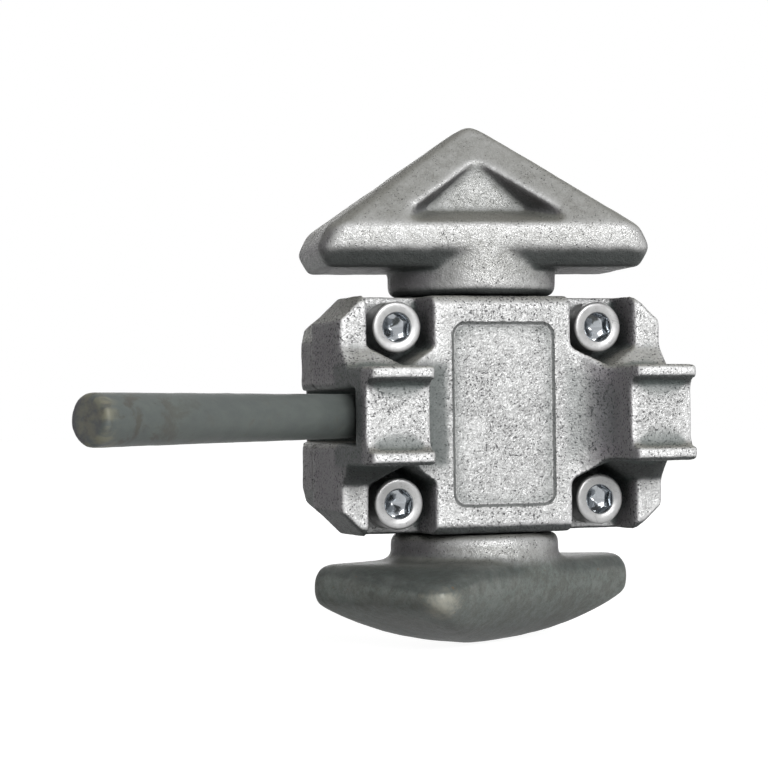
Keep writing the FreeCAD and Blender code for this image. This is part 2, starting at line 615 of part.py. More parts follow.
def ramp_tool():
    """Wedge over one corner of the lower cone's bearing side."""
    end = LOWER_CONE_HALF_LENGTH
    side = CONE_HALF_WIDTH
    start = Vector(-RAMP_START_X, -side, -CONE_FACE_Z)
    stop = Vector(-end, RAMP_END_Y, -CONE_FACE_Z)
    hinge = (stop - start).normalize()
    outward = hinge.cross(-UP)
    run = (Vector(-end, -side, -CONE_FACE_Z) - start).dot(outward)
    down = (outward * run - UP * RAMP_DROP).normalize() * REACH
    corners = [start - hinge * REACH, start - hinge * REACH + down]
    corners += [start - hinge * REACH + down + UP * REACH, start - hinge * REACH + UP * REACH]
    return polygon(corners).extrude(hinge * 2 * REACH)


def lower_cone_blank():
    """Lower cone: bevelled bearing side with two ramps, upright walls, crowned underside."""
    end = LOWER_CONE_HALF_LENGTH
    side = CONE_HALF_WIDTH
    corner = LOWER_CONE_CORNER
    rim_z = -CONE_FACE_Z - LOWER_BEVEL_HEIGHT
    top = plan_rectangle(end - LOWER_END_BEVEL, side - LOWER_SIDE_BEVEL, corner - LOWER_END_BEVEL, -CONE_FACE_Z)
    rim = plan_rectangle(end, side, corner, rim_z)
    foot = plan_rectangle(end, side, corner, LOWER_CONE_BOTTOM_Z - 1)
    block = Part.makeLoft([top, rim, foot], True, True)
    block = block.common(crown(end, BACK)).common(crown(side, ACROSS))
    ramp = ramp_tool()
    return block.cut([ramp, spun(ramp, 180)])


def spindle():
    """One forging: upper cone and neck, two journals with the hub between, lower neck and cone."""
    recess = recess_tool()
    upper = cone_blank().cut([recess, mirrored(recess)])
    upper = spun(upper, UPPER_CONE_TURN)
    lower = spun(lower_cone_blank(), LOWER_CONE_TURN)
    outline = [(0, -CONE_FACE_Z), (JOURNAL_RADIUS, -CONE_FACE_Z), (JOURNAL_RADIUS, -HUB_HALF_HEIGHT)]
    outline += [(HUB_RADIUS, -HUB_HALF_HEIGHT), (HUB_RADIUS, HUB_HALF_HEIGHT)]
    outline += [(JOURNAL_RADIUS, HUB_HALF_HEIGHT), (JOURNAL_RADIUS, CONE_FACE_Z), (0, CONE_FACE_Z)]
    shaft = turned(outline)
    tools = [handle_line(-HANDLE_TENON_PAST_AXIS - 0.5, 2 * HUB_RADIUS, tenon_bore())]
    tools.append(handle_pin_bar(HUB_HALF_HEIGHT + 1, HANDLE_PIN_RADIUS))
    ball = PLUNGER_RADIUS + PLUNGER_CLEARANCE
    dimple = Part.makeSphere(ball, ACROSS * (HUB_RADIUS + ball - DIMPLE_DEPTH))
    tools += [dimple, spun(dimple, HANDLE_TRAVEL)]
    return upper.fuse([lower, neck(1), neck(-1), shaft.cut(tools)]).removeSplitter()


# ---------------------------------------------------------------- handle
def handle_direction():
    turn = math.radians(HANDLE_TURN)
    return Vector(-math.cos(turn), -math.sin(turn), 0)


def handle_radius(distance):
    """Radius of the tapered rod at a distance from the spindle axis."""
    part = (distance - HUB_RADIUS) / (HANDLE_LENGTH - HUB_RADIUS)
    return HANDLE_ROOT_RADIUS + (HANDLE_TIP_RADIUS - HANDLE_ROOT_RADIUS) * part


def tenon_bore():
    return HANDLE_TENON_RADIUS + HANDLE_BORE_CLEARANCE


def handle_line(start, end, radius):
    """Round bar along the handle between two distances from the spindle axis."""
    return cylinder(radius, handle_direction() * start, handle_direction() * end)


def handle_pin_bar(half_length, radius):
    """Upright bar through hub and handle tenon."""
    place = handle_direction() * HANDLE_PIN_AT
    return cylinder(radius, place - UP * half_length, place + UP * half_length)


def handle_rod():
    """Tapered round bar with a tenon through the hub and a softened tip."""
    shoulder = HUB_RADIUS + 0.2
    tip = HANDLE_LENGTH
    blend = HANDLE_TIP_ROUND
    outline = [(0, -HANDLE_TENON_PAST_AXIS), (HANDLE_TENON_RADIUS, -HANDLE_TENON_PAST_AXIS)]
    outline += [(HANDLE_TENON_RADIUS, shoulder), (HANDLE_ROOT_RADIUS, shoulder)]
    outline += [(HANDLE_TIP_RADIUS, tip - blend)]
    for turn in (30, 60, 90):
        angle = math.radians(turn)
        outline.append((HANDLE_TIP_RADIUS - blend * (1 - math.cos(angle)), tip - blend + blend * math.sin(angle)))
    outline.append((0, tip))
    rod = turned(outline, ORIGIN, handle_direction())
    return rod.cut(handle_pin_bar(HUB_HALF_HEIGHT, HANDLE_PIN_RADIUS))


def handle_pin():
    """Spring pin that holds the handle's tenon in the hub."""
    return handle_pin_bar(HUB_HALF_HEIGHT - HANDLE_PIN_INSET, HANDLE_PIN_RADIUS)


# ---------------------------------------------------------------- assembly
def build_parts():
    parts = {
        "front_housing": front_housing(),
        "rear_housing": rear_housing(),
        "spindle": spindle(),
        "handle_rod": handle_rod(),
        "handle_pin": handle_pin(),
        "detent_plunger": detent_plunger(),
        "detent_springs": detent_springs(),
    }
    corners = {"upper_left": (-1, 1), "upper_right": (1, 1), "lower_left": (-1, -1), "lower_right": (1, -1)}
    for name, (side_x, side_z) in corners.items():
        parts["screw_" + name] = cap_screw(side_x, side_z)
        parts["spring_washer_" + name] = spring_washer(side_x, side_z)
        parts["nut_" + name] = housing_nut(side_x, side_z)
    for name, place in zip(("dowel_right", "dowel_left"), dowel_places()):
        parts[name] = dowel(place)
    for level, side_z in (("upper", 1), ("lower", -1)):
        for face, side_y in (("front", -1), ("rear", 1)):
            parts["bush_" + level + "_" + face] = bush_half(side_y, side_z)
    return parts


os.makedirs("parts", exist_ok=True)
for part_name, part_shape in build_parts().items():
    part_shape.exportStep("parts/" + part_name + ".step")
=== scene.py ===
"""Looks of a manual stacking twistlock: galvanised castings and forgings, plated screws, soft studio light.

Metres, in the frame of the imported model: +Z up the spindle, +X away from the handle slot, -Y to the front.
"""

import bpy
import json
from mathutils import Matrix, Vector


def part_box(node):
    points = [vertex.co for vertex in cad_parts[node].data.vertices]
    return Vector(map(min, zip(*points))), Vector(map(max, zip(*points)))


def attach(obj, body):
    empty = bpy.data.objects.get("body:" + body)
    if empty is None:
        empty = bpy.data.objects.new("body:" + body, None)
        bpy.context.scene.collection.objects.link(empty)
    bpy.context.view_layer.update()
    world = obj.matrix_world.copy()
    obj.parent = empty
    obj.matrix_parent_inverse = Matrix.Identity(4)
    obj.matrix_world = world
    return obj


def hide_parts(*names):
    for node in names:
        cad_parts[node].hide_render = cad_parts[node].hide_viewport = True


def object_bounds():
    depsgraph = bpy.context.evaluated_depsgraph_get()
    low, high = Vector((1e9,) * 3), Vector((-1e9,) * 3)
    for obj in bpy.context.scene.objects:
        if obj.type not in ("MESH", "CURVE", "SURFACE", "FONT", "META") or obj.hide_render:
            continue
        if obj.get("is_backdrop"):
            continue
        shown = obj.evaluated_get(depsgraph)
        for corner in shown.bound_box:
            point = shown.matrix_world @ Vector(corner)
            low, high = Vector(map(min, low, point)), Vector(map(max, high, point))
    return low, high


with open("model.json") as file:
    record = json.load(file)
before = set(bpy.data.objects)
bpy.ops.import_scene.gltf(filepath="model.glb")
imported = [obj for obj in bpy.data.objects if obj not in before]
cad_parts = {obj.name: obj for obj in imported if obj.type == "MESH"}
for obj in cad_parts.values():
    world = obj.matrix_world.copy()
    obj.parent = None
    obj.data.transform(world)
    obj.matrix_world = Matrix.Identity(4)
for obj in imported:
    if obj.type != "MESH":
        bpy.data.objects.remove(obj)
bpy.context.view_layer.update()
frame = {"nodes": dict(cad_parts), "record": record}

import json
import math

import bpy
import numpy as np
from mathutils import Matrix, Vector, noise

MM = 0.001
NODES = frame["nodes"]
CORNERS = ("upper_left", "upper_right", "lower_left", "lower_right")


# ---------------------------------------------------------------- shader writing
class Wire:
    """A shader socket that can be written into an expression."""

    def __init__(self, sheet, socket):
        self.sheet = sheet
        self.socket = socket

    def maths(self, operation, first, second):
        return self.sheet.add("ShaderNodeMath", {"operation": operation}, {0: first, 1: second})

    def __add__(self, other):
        return self.maths("ADD", self, other)

    def __radd__(self, other):
        return self.maths("ADD", other, self)

    def __sub__(self, other):
        return self.maths("SUBTRACT", self, other)

    def __rsub__(self, other):
        return self.maths("SUBTRACT", other, self)

    def __mul__(self, other):
        return self.maths("MULTIPLY", self, other)

    def __rmul__(self, other):
        return self.maths("MULTIPLY", other, self)

    def __pow__(self, other):
        return self.maths("POWER", self, other)

    def __rpow__(self, other):
        return self.maths("POWER", other, self)

    def at_least(self, other):
        return self.maths("MAXIMUM", self, other)

    def size(self):
        return self.maths("ABSOLUTE", self, 0.0)

    def part(self, name):
        """Another output of the node that made this one."""
        return Wire(self.sheet, self.socket.node.outputs[name])


class Sheet:
    """The node tree of one finish."""

    def __init__(self, tree):
        self.tree = tree
        tree.nodes.clear()

    def add(self, kind, settings=None, sockets=None, out=0):
        """One node: its settings first, then the values or links of its sockets."""
        node = self.tree.nodes.new(kind)
        for name, value in (settings or {}).items():
            setattr(node, name, value)
        for name, value in (sockets or {}).items():
            if isinstance(value, Wire):
                self.tree.links.new(value.socket, node.inputs[name])
            else:
                node.inputs[name].default_value = value
        return Wire(self, node.outputs[out]) if len(node.outputs) else node

    def place(self):
        return self.add("ShaderNodeTexCoord").part("Object")

    def cloud(self, place, grain, detail=3.0, roughness=0.55, warp=0.0):
        """Noise whose blobs are about grain millimetres across, from 0 to 1."""
        return self.add("ShaderNodeTexNoise", None, {
            "Vector": place, "Scale": 1.0 / (grain * MM), "Detail": detail, "Roughness": roughness,
            "Distortion": warp})

    def marked(self, name):
        """A number that the mesh carries at its points."""
        return self.add("ShaderNodeAttribute", {"attribute_name": name}, None, "Fac")

    def split(self, vector):
        """The three parts of a vector."""
        node = self.add("ShaderNodeSeparateXYZ", None, {0: vector})
        return node.part("X"), node.part("Y"), node.part("Z")

    def openness(self, reach):
        """1 on open ground, less where neighbours within reach millimetres shut the light out."""
        values = {"Distance": reach * MM}
        return self.add("ShaderNodeAmbientOcclusion", {"samples": 8}, values, "AO")

    def step(self, value, low, high):
        """0 below low, 1 above high, smooth between."""
        values = {"Value": value, "From Min": low, "From Max": high}
        return self.add("ShaderNodeMapRange", {"interpolation_type": "SMOOTHSTEP"}, values)

    def blend(self, amount, first, second):
        """Colour mix; first and second are colours or wires."""
        return self.add("ShaderNodeMix", {"data_type": "RGBA"}, {0: amount, 6: first, 7: second}, 2)

    def bump(self, height, depth):
        """Relief of the given depth in millimetres."""
        return self.add("ShaderNodeBump", None, {"Height": height, "Distance": depth * MM, "Strength": 1.0})


def grey(level, red=1.0, green=1.0, blue=1.0):
    return (level * red, level * green, level * blue, 1.0)


def finish(name, paint):
    """A material whose surface is painted by paint(sheet, place), which returns Principled sockets."""
    material = bpy.data.materials.new(name)
    material.use_nodes = True
    sheet = Sheet(material.node_tree)
    skin = sheet.add("ShaderNodeBsdfPrincipled", None, paint(sheet, sheet.place()))
    sheet.add("ShaderNodeOutputMaterial", None, {"Surface": skin})
    return material


# ---------------------------------------------------------------- finishes
# Lengths and places are in millimetres, in the model's frame.
DULL_SPECULAR = 0.12        # zinc's own film reflects little besides its metal
PANEL_HALF_WIDTH = 16.9     # the sunk panel on the front pad
PANEL_HALF_HEIGHT = 28.6
PANEL_CORNER = 4.0
PANEL_FACE_Y = -26.6        # in front of this only the pad carries the panel's outline
PANEL_LINE = 0.42           # half the width of its outline
SCOOP_X = (-17.3, -20.5)    # painted shade in the hollow between the pad and the handle-side lug: none, full
SCOOP_FRONT_Y = (-49.0, -45.0)
SCOOP_BACK_Y = (-20.0, -24.0)
SCOOP_HALF_HEIGHT = (18.0, 14.0)
UPPER_CONE_Z = (60.0, 55.0)       # no painted underside shade above this, where the cone's recess opens to the front
LOWER_CONE_Z = (-44.0, -49.0)     # the neck's brighter colour gives way to the lower cone's darker one
HIGHLIT_CORNER = (-29.0, -47.0, -59.3)     # the lower cone's near corner, where a pale highlight is painted
HIGHLIGHT_REACH = (9.0, 1.5)
STAINED_X = (-95.0, -135.0)       # brown stains thicken towards the handle's tip
RUBBED_X = (-137.0, -141.5)       # and a ring round the tip is pale from wear
CORNER_REACH = 14.0         # how far off a neighbour shades a corner of the castings
SLOT_REACH = 12.0           # and the handle in its slot


def span(sheet, value, ends):
    """0 at the first end, 1 at the second; ends are in millimetres, value in metres."""
    return sheet.step(value, ends[0] * MM, ends[1] * MM)


def facing(sheet):
    """The way a face looks, as three parts in the object's own frame."""
    normal = sheet.add("ShaderNodeNewGeometry").part("Normal")
    turn = {"convert_from": "WORLD", "convert_to": "OBJECT", "vector_type": "NORMAL"}
    return sheet.split(sheet.add("ShaderNodeVectorTransform", turn, {0: normal}))


def painted_facing_shade(sheet, place, colour, level, ends):
    """Painted shade by which way a face looks: the front stays bright, olive on top, bluish at the ends,
    darkest on the undersides.

    Gives the colour with that painted shade, how burnished the face is, how far it turns aside from the
    front and how much it looks down.
    """
    _, y, z = facing(sheet)
    # painted shade: faces turned aside from the front and the undersides are darkened
    dull_and_shaded = 1.0 - sheet.step(y.size(), 0.52, 0.985)
    under_shade = sheet.step(z, -0.10, -0.60) * span(sheet, sheet.split(place)[2], UPPER_CONE_Z)
    bluish = grey(level * ends, 1.05, 0.98, 1.08)
    olive = grey(level * 0.40, 1.02, 1.0, 0.86)
    shade_paint = grey(level * 0.10, 0.85, 1.0, 0.98)
    veil = sheet.blend(under_shade, sheet.blend(sheet.step(z, 0.2, 0.7), bluish, olive), shade_paint)
    amount = (dull_and_shaded * 0.78).at_least(under_shade * 0.88)
    return sheet.blend(amount, colour, veil), sheet.step(y.size(), 0.78, 0.99), dull_and_shaded, under_shade


def panel_line(sheet, place, wobble):
    """1 on the outline of the sunk panel, 0 elsewhere."""
    x, y, z = sheet.split(place)
    across = (x.size() * (1.0 / MM) - (PANEL_HALF_WIDTH - PANEL_CORNER)).at_least(0.0)
    along = (z.size() * (1.0 / MM) - (PANEL_HALF_HEIGHT - PANEL_CORNER)).at_least(0.0)
    away = (across * across + along * along) ** 0.5 - PANEL_CORNER + (wobble - 0.5) * 0.7
    on_pad = span(sheet, y, (PANEL_FACE_Y, PANEL_FACE_Y - 0.3))
    return sheet.step(away.size(), PANEL_LINE * 1.5, PANEL_LINE * 0.4) * on_pad


def scoop_shade(sheet, place, wobble):
    """Painted shade: 1 deep in the hollow between the pad and the handle-side lug, 0 outside it."""
    x, y, z = sheet.split(place)
    deep = span(sheet, y, SCOOP_FRONT_Y) * span(sheet, y, SCOOP_BACK_Y)
    beside_pad = span(sheet, x + (wobble - 0.5) * 0.003, SCOOP_X)
    return deep * beside_pad * span(sheet, z.size(), SCOOP_HALF_HEIGHT)


def lower_cone(sheet, place, low, tone, clouds, mottle, swell, sunk):
    """The lower cone's darker satin skin, with painted highlights and painted shade: 1 where it lies, and
    its colour.

    low: its brightness; swell and sunk: how far the place stands out or lies in a hollow, for painted
    highlight and painted shade.
    """
    lies = span(sheet, sheet.split(place)[2] + (clouds - 0.5) * 0.003, LOWER_CONE_Z)
    satin = sheet.cloud(place, 7.0, 5.0, 0.7, 0.8)
    colour = sheet.blend(sheet.step(tone, 0.1, 0.9), grey(low * 0.66, 0.88, 1.0, 0.95),
                         grey(low * 1.25, 0.90, 1.0, 0.93))
    scuff = sheet.step(mottle + (clouds - 0.5) * 0.6, 0.62, 0.40)
    colour = sheet.blend(scuff * 0.3, colour, grey(low, 0.6, 0.55, 0.45))
    # painted highlight on the swells
    sheen = swell * sheet.step(satin, 0.35, 0.75)
    colour = sheet.blend(sheen * 0.45, colour, grey(low * 1.7, 0.97, 1.0, 0.95))
    # painted highlight on the near corner
    corner = tuple(part * MM for part in HIGHLIT_CORNER)
    away = sheet.add("ShaderNodeVectorMath", {"operation": "DISTANCE"}, {0: place, 1: corner}, "Value")
    corner_highlight = span(sheet, away + (satin - 0.5) * 0.014 + (mottle - 0.5) * 0.012, HIGHLIGHT_REACH)
    colour = sheet.blend(corner_highlight * 0.75, colour, grey(low * 2.4, 1.02, 1.0, 0.86))
    # painted shadow of the housing on faces turned up
    turned_up = sheet.step(facing(sheet)[2], 0.05, 0.45)
    colour = sheet.blend(turned_up * 0.55, colour, grey(low * 0.34, 0.86, 1.0, 0.98))
    rust = sheet.step(sheet.cloud(place, 1.6, 2.0, 0.5), 0.70, 0.80)
    colour = sheet.blend(rust * 0.7, colour, grey(low, 0.9, 0.62, 0.38))
    # painted shade where sunk: in hollows and shut-in corners
    return lies, sheet.blend(sunk, colour, grey(low * 0.25, 0.92, 0.99, 1.0))


def zinc_skin(level, grain, relief, speck, patch, sheen, rough=0.36, tint=(1.0, 1.0, 1.0), shade_paint=1.0,
              ends=0.42, low=None, panel=False):
    """Hot-dip zinc over a rough skin, with painted shade by facing, in creases, hollows and corners, and
    painted highlight on ridges.

    level: brightness; grain: size of the orange peel in mm; relief: its depth in mm;
    speck: share of dark pinholes; patch: contrast of the cloudy patches; sheen: metal share of burnished
    faces; rough: roughness; tint: hue of its dark patches; soot: strength of the painted shade in corners
    and hollows;
    ends: brightness of the painted shade on its ends against its front; low: brightness of the lower cone,
    where one piece has both; panel: draws the panel's outline and painted shade in the hollow beside it.
    """
    def paint(sheet, place):
        clouds = sheet.cloud(place, 16.0, 3.0, 0.6, 0.6)
        mottle = sheet.cloud(place, 2.4, 3.0, 0.65)
        peel = sheet.cloud(place, grain, 2.0, 0.55, 0.8)
        grit = sheet.cloud(place, grain * 0.5, 2.0, 0.6)
        pits = sheet.cloud(place, grain * 0.7, 1.0, 0.5)
        crowd = (clouds - 0.5) * 0.25 + (mottle - 0.5) * 0.15
        hollow = sheet.marked("hollow")
        dell = sheet.marked("dell")
        ridge = sheet.step(hollow, -0.05, -0.30)
        crease = sheet.step(hollow, 0.04, 0.30)
        swell = sheet.step(dell, -0.15, -0.8)
        basin = sheet.step(dell, -0.02, 0.55)
        shut_in = sheet.step(sheet.openness(CORNER_REACH), 0.68, 0.08)
        tone = (clouds - 0.5) * patch + (mottle - 0.5) * patch * 1.5
        tone = tone + (grit - 0.5) * 0.5 + (peel - 0.5) * 0.6 + 0.5
        colour = sheet.blend(sheet.step(tone, 0.05, 0.95), grey(level * 0.66, *tint),
                             grey(level * 1.28, 1.0, 1.005, 1.0))
        # painted shade by facing on the sides, top and undersides
        colour, burnish, dull_and_shaded, under_shade = painted_facing_shade(sheet, place, colour, level, ends)
        # painted highlight on ridges and swells of faces turned to the front and not down
        lit_front = (1.0 - dull_and_shaded * 0.8) * (1.0 - under_shade)
        pinholes = sheet.step(pits + crowd - dull_and_shaded * (0.06 * speck), 0.31 + 0.09 * speck, 0.26)
        colour = sheet.blend((ridge * 0.4 + swell * 0.3) * lit_front, colour, grey(min(level * 1.4, 0.85)))
        colour = sheet.blend(pinholes * 0.85, colour, grey(level * 0.16, 0.97, 0.97, 1.02))
        # painted shade in creases and hollows, then deeper painted shade in shut-in corners
        colour = sheet.blend(crease * (0.3 * shade_paint) + basin * (0.5 * shade_paint), colour,
                             grey(level * 0.30, 0.84, 1.0, 0.96))
        colour = sheet.blend(shut_in * (0.85 * shade_paint), colour, grey(level * 0.13, 0.88, 0.99, 1.0))
        height = peel + grit * 0.3 + (mottle - 0.5) * 1.1 - pinholes * 0.3
        metal = (burnish * sheen + ridge * lit_front * (sheen * 0.3) + 0.03) * (1.0 - crease * 0.8)
        metal = metal * (1.0 - basin * (0.7 * shade_paint)) * (1.0 - shut_in)
        if low is not None:
            # painted shade in the lower cone's hollows and shut-in corners
            sunk = basin * 0.5 + shut_in * 0.5
            lies, lower_colour = lower_cone(sheet, place, low, tone, clouds, mottle, swell, sunk)
            colour = sheet.blend(lies, colour, lower_colour)
            metal = metal * (1.0 - lies * 0.7)
            height = height * (1.0 - lies * 0.65)
        if panel:
            # painted shade in the hollow beside the pad
            painted_scoop_shade = scoop_shade(sheet, place, mottle)
            colour = sheet.blend(painted_scoop_shade * 0.70, colour, grey(level * 0.24, 0.86, 1.0, 0.97))
            line = panel_line(sheet, place, mottle)
            colour = sheet.blend(line * 0.85, colour, grey(level * 0.22, 0.93, 1.0, 0.98))
            metal = metal * (1.0 - painted_scoop_shade * 0.9) * (1.0 - line * 0.9)
            height = height - line * 0.8
        roughness = rough + pinholes * 0.2 + (clouds - 0.5) * 0.1 + (grit - 0.5) * 0.12 + dull_and_shaded * 0.14
        return {"Base Color": colour, "Metallic": metal, "Roughness": roughness,
                "Specular IOR Level": DULL_SPECULAR, "Normal": sheet.bump(height, relief)}
    return paint


def bar_skin(level):
    """Matt grey zinc on the handle's bar: smooth, brownish smudges, stained towards its tip, with a pale
    ring of wear round it; painted shade on its end face and in its slot.
    """
    def paint(sheet, place):
        drawn_out = sheet.add("ShaderNodeVectorMath", {"operation": "MULTIPLY"},
                              {0: place, 1: (0.25, 1.0, 1.0)})
        streaks = sheet.cloud(drawn_out, 3.0, 4.0, 0.6)
        clouds = sheet.cloud(place, 14.0, 3.0, 0.6)
        grit = sheet.cloud(place, 0.7, 2.0, 0.5)
        x = sheet.split(place)[0]
        colour = sheet.blend(sheet.step(streaks * 0.6 + clouds * 0.4, 0.3, 0.7),
                             grey(level * 0.90, 0.89, 1.0, 0.97), grey(level * 1.10, 0.89, 1.0, 0.94))
        smudge = sheet.step(sheet.cloud(place, 5.0, 4.0, 0.65, 0.5), 0.60, 0.74)
        colour = sheet.blend(smudge * 0.3, colour, grey(level, 0.85, 0.72, 0.55))
        stain = sheet.step(sheet.cloud(place, 7.0, 4.0, 0.7, 0.4), 0.50, 0.66) * span(sheet, x, STAINED_X)
        colour = sheet.blend(stain * 0.55, colour, grey(level, 0.55, 0.47, 0.36))
        rub = span(sheet, x, RUBBED_X) * sheet.step(streaks, 0.35, 0.6)
        colour = sheet.blend(rub * 0.7, colour, grey(level, 1.75, 1.7, 1.25))
        # painted shade on the end face, which looks away from the front
        end_face = sheet.step(facing(sheet)[0], -0.80, -0.93)
        colour = sheet.blend(end_face * 0.9, colour, grey(level * 0.62, 0.98, 0.98, 1.12))
        # painted shade where the slot shuts the light out
        shut_in = sheet.step(sheet.openness(SLOT_REACH), 0.7, 0.1)
        colour = sheet.blend(shut_in * 0.7, colour, grey(level * 0.2))
        return {"Base Color": colour, "Metallic": 0.06 + streaks * 0.04, "Roughness": 0.46 + grit * 0.12,
                "Specular IOR Level": 0.3, "Normal": sheet.bump(grit * 0.5 + streaks, 0.06)}
    return paint


def plated_skin(level, lustre, sheen):
    """Bright electroplated zinc with light handling marks, painted shade on rims, threads and in sockets,
    which are shiny.

    level: brightness; lustre: roughness; sheen: metal share.
    """
    def paint(sheet, place):
        smear = sheet.cloud(place, 4.0, 3.0, 0.6, 1.0)
        dust = sheet.cloud(place, 0.5, 2.0, 0.5)
        specks = sheet.step(dust, 0.36, 0.26)
        inside = sheet.marked("socket")
        colour = sheet.blend(sheet.step(smear, 0.3, 0.7), grey(level * 0.85), grey(level))
        # painted shade on the rounded rim, the knurl and the shank
        colour = sheet.blend(sheet.marked("rim") * 0.8, colour, grey(level * 0.25))
        # painted shade in the socket
        colour = sheet.blend(inside, colour, (0.36, 0.38, 0.40, 1.0))
        colour = sheet.blend(specks * 0.6, colour, grey(level * 0.3))
        roughness = lustre + (smear - 0.5) * 0.16 + specks * 0.25 - inside * (lustre - 0.14)
        metal = sheen - specks * (sheen * 0.5) + inside * (0.97 - sheen)
        return {"Base Color": colour, "Metallic": metal, "Roughness": roughness,
                "Normal": sheet.bump(smear + dust * 0.15, 0.03)}
    return paint


def bronze_skin(sheet, place):
    """Plain bronze, smeared with oil."""
    smear = sheet.cloud(place, 5.0, 3.0, 0.6, 0.8)
    colour = sheet.blend(smear, (0.36, 0.24, 0.12, 1.0), (0.66, 0.47, 0.26, 1.0))
    return {"Base Color": colour, "Metallic": 0.9, "Roughness": 0.32 + smear * 0.2}


FINISHES = {
    "galvanised_casting": zinc_skin(level=0.58, grain=1.0, relief=0.50, speck=1.0, patch=0.55, sheen=0.34,
                                    panel=True),
    "galvanised_forging": zinc_skin(level=0.45, grain=0.75, relief=0.26, speck=0.2, patch=0.5, sheen=0.31,
                                    rough=0.34, tint=(1.0, 1.0, 0.95), shade_paint=0.30, ends=0.20, low=0.19),
    "dull_galvanised_bar": bar_skin(level=0.138),
    "zinc_screw": plated_skin(level=0.50, lustre=0.30, sheen=0.3),
    "zinc_fastener": plated_skin(level=0.50, lustre=0.36, sheen=0.3),
    "dull_fastener": zinc_skin(level=0.3, grain=0.6, relief=0.1, speck=0.2, patch=0.5, sheen=0.2),
    "ground_steel": plated_skin(level=0.50, lustre=0.25, sheen=0.7),
    "bronze": bronze_skin,
}
MATERIALS = {slot: finish(slot, paint) for slot, paint in FINISHES.items()}
SLOT_OF = {row["node"]: row["material_slot"] for row in frame["record"]["subparts"]}

for node, thing in NODES.items():
    thing.data.materials.clear()
    thing.data.materials.append(MATERIALS[SLOT_OF[node]])


# ---------------------------------------------------------------- softened castings and forgings
NEAR_PASSES = 10      # steps of drawing in that show a place's near and wide surroundings
WIDE_PASSES = 70


def even_skin(node, voxel):
    """The node's solid re-meshed in even squares of voxel millimetres."""
    piece = bpy.data.objects.new("blank", NODES[node].data.copy())
    bpy.context.scene.collection.objects.link(piece)
    skin = piece.modifiers.new("skin", "REMESH")
    skin.mode = "VOXEL"
    skin.voxel_size = voxel * MM
    graph = bpy.context.evaluated_depsgraph_get()
    mesh = bpy.data.meshes.new_from_object(piece.evaluated_get(graph))
    bpy.data.objects.remove(piece)
    return mesh


def read_points(mesh):
    points = np.empty(len(mesh.vertices) * 3)
    mesh.vertices.foreach_get("co", points)
    return points.reshape(-1, 3)


def read_normals(mesh):
    normals = np.empty(len(mesh.vertices) * 3)
    mesh.vertices.foreach_get("normal", normals)
    return normals.reshape(-1, 3)


def web(mesh):
    """Each point's neighbours: end points, their neighbours, and how many neighbours a point has."""
    edges = np.empty(len(mesh.edges) * 2, np.int64)
    mesh.edges.foreach_get("vertices", edges)
    edges = edges.reshape(-1, 2)
    ends = np.concatenate([edges[:, 0], edges[:, 1]])
    others = np.concatenate([edges[:, 1], edges[:, 0]])
    count = np.maximum(np.bincount(ends, minlength=len(mesh.vertices)), 1)
    return ends, others, count


def drawn_in(points, links, passes, give):
    """The points after passes steps towards the middle of their neighbours."""
    ends, others, count = links
    points = points.copy()
    for _ in range(passes):
        for axis in range(3):
            middle = np.bincount(ends, points[others, axis], minlength=len(points)) / count
            points[:, axis] += give * (middle - points[:, axis])
    return points


def relax(mesh, passes, hold=None):
    """Rounds the edges off; hold(points in mm) is 1 where they stay sharp."""
    points = read_points(mesh)
    give = 0.6 * (np.ones(len(points)) if hold is None else 1.0 - hold(points / MM))
    points = drawn_in(points, web(mesh), passes, give)
    mesh.vertices.foreach_set("co", points.ravel())
    mesh.update()


def mark(mesh, name, values):
    """A number at each point of the mesh, for the finishes to read."""
    layer = mesh.attributes.new(name, "FLOAT", "POINT")
    layer.data.foreach_set("value", values)


def mark_hollows(mesh):
    """Marks how far each point lies below its near and wide surroundings, in mm; ridges are negative."""
    points = read_points(mesh)
    normals = read_normals(mesh)
    links = web(mesh)
    near = drawn_in(points, links, NEAR_PASSES, 0.8)
    wide = drawn_in(near, links, WIDE_PASSES, 0.8)
    mark(mesh, "hollow", np.einsum("ij,ij->i", near - points, normals) / MM)
    mark(mesh, "dell", np.einsum("ij,ij->i", wide - points, normals) / MM)


def roughen(mesh, wave, depth, box):
    """Uneven cast surface: waves of about wave millimetres, depth millimetres high, inside the box."""
    points = read_points(mesh)
    normals = read_normals(mesh)
    scale = 1.0 / (wave * MM)
    lift = np.array([noise.noise(Vector(p) * scale) + 0.5 * noise.noise(Vector(p) * scale * 2.3)
                     for p in points])
    points += normals * (lift * depth * MM)[:, None]
    points = np.clip(points, np.array(box[0]), np.array(box[1]))
    mesh.vertices.foreach_set("co", points.ravel())
    mesh.update()


def stand_for(mesh, node, name, body):
    """The finished mesh as a piece in place of a node."""
    mesh.materials.clear()
    mesh.materials.append(MATERIALS[SLOT_OF[node]])
    mesh.polygons.foreach_set("use_smooth", [True] * len(mesh.polygons))
    piece = bpy.data.objects.new(name, mesh)
    bpy.context.scene.collection.objects.link(piece)
    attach(piece, body)
    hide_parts(node)


def soften(node, name, body, voxel, roundings, wave, depth):
    """A casting or forging with rounded edges and a rough skin, in squares of voxel millimetres.

    roundings: (passes, hold) in turn; wave and depth: those of the rough skin in mm.
    """
    mesh = even_skin(node, voxel)
    for passes, hold in roundings:
        relax(mesh, passes, hold)
    mark_hollows(mesh)
    roughen(mesh, wave, depth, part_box(node))
    stand_for(mesh, node, name, body)


def fade(values, low, high):
    """0 at low, 1 at high, straight between."""
    return np.clip((values - low) / (high - low), 0.0, 1.0)


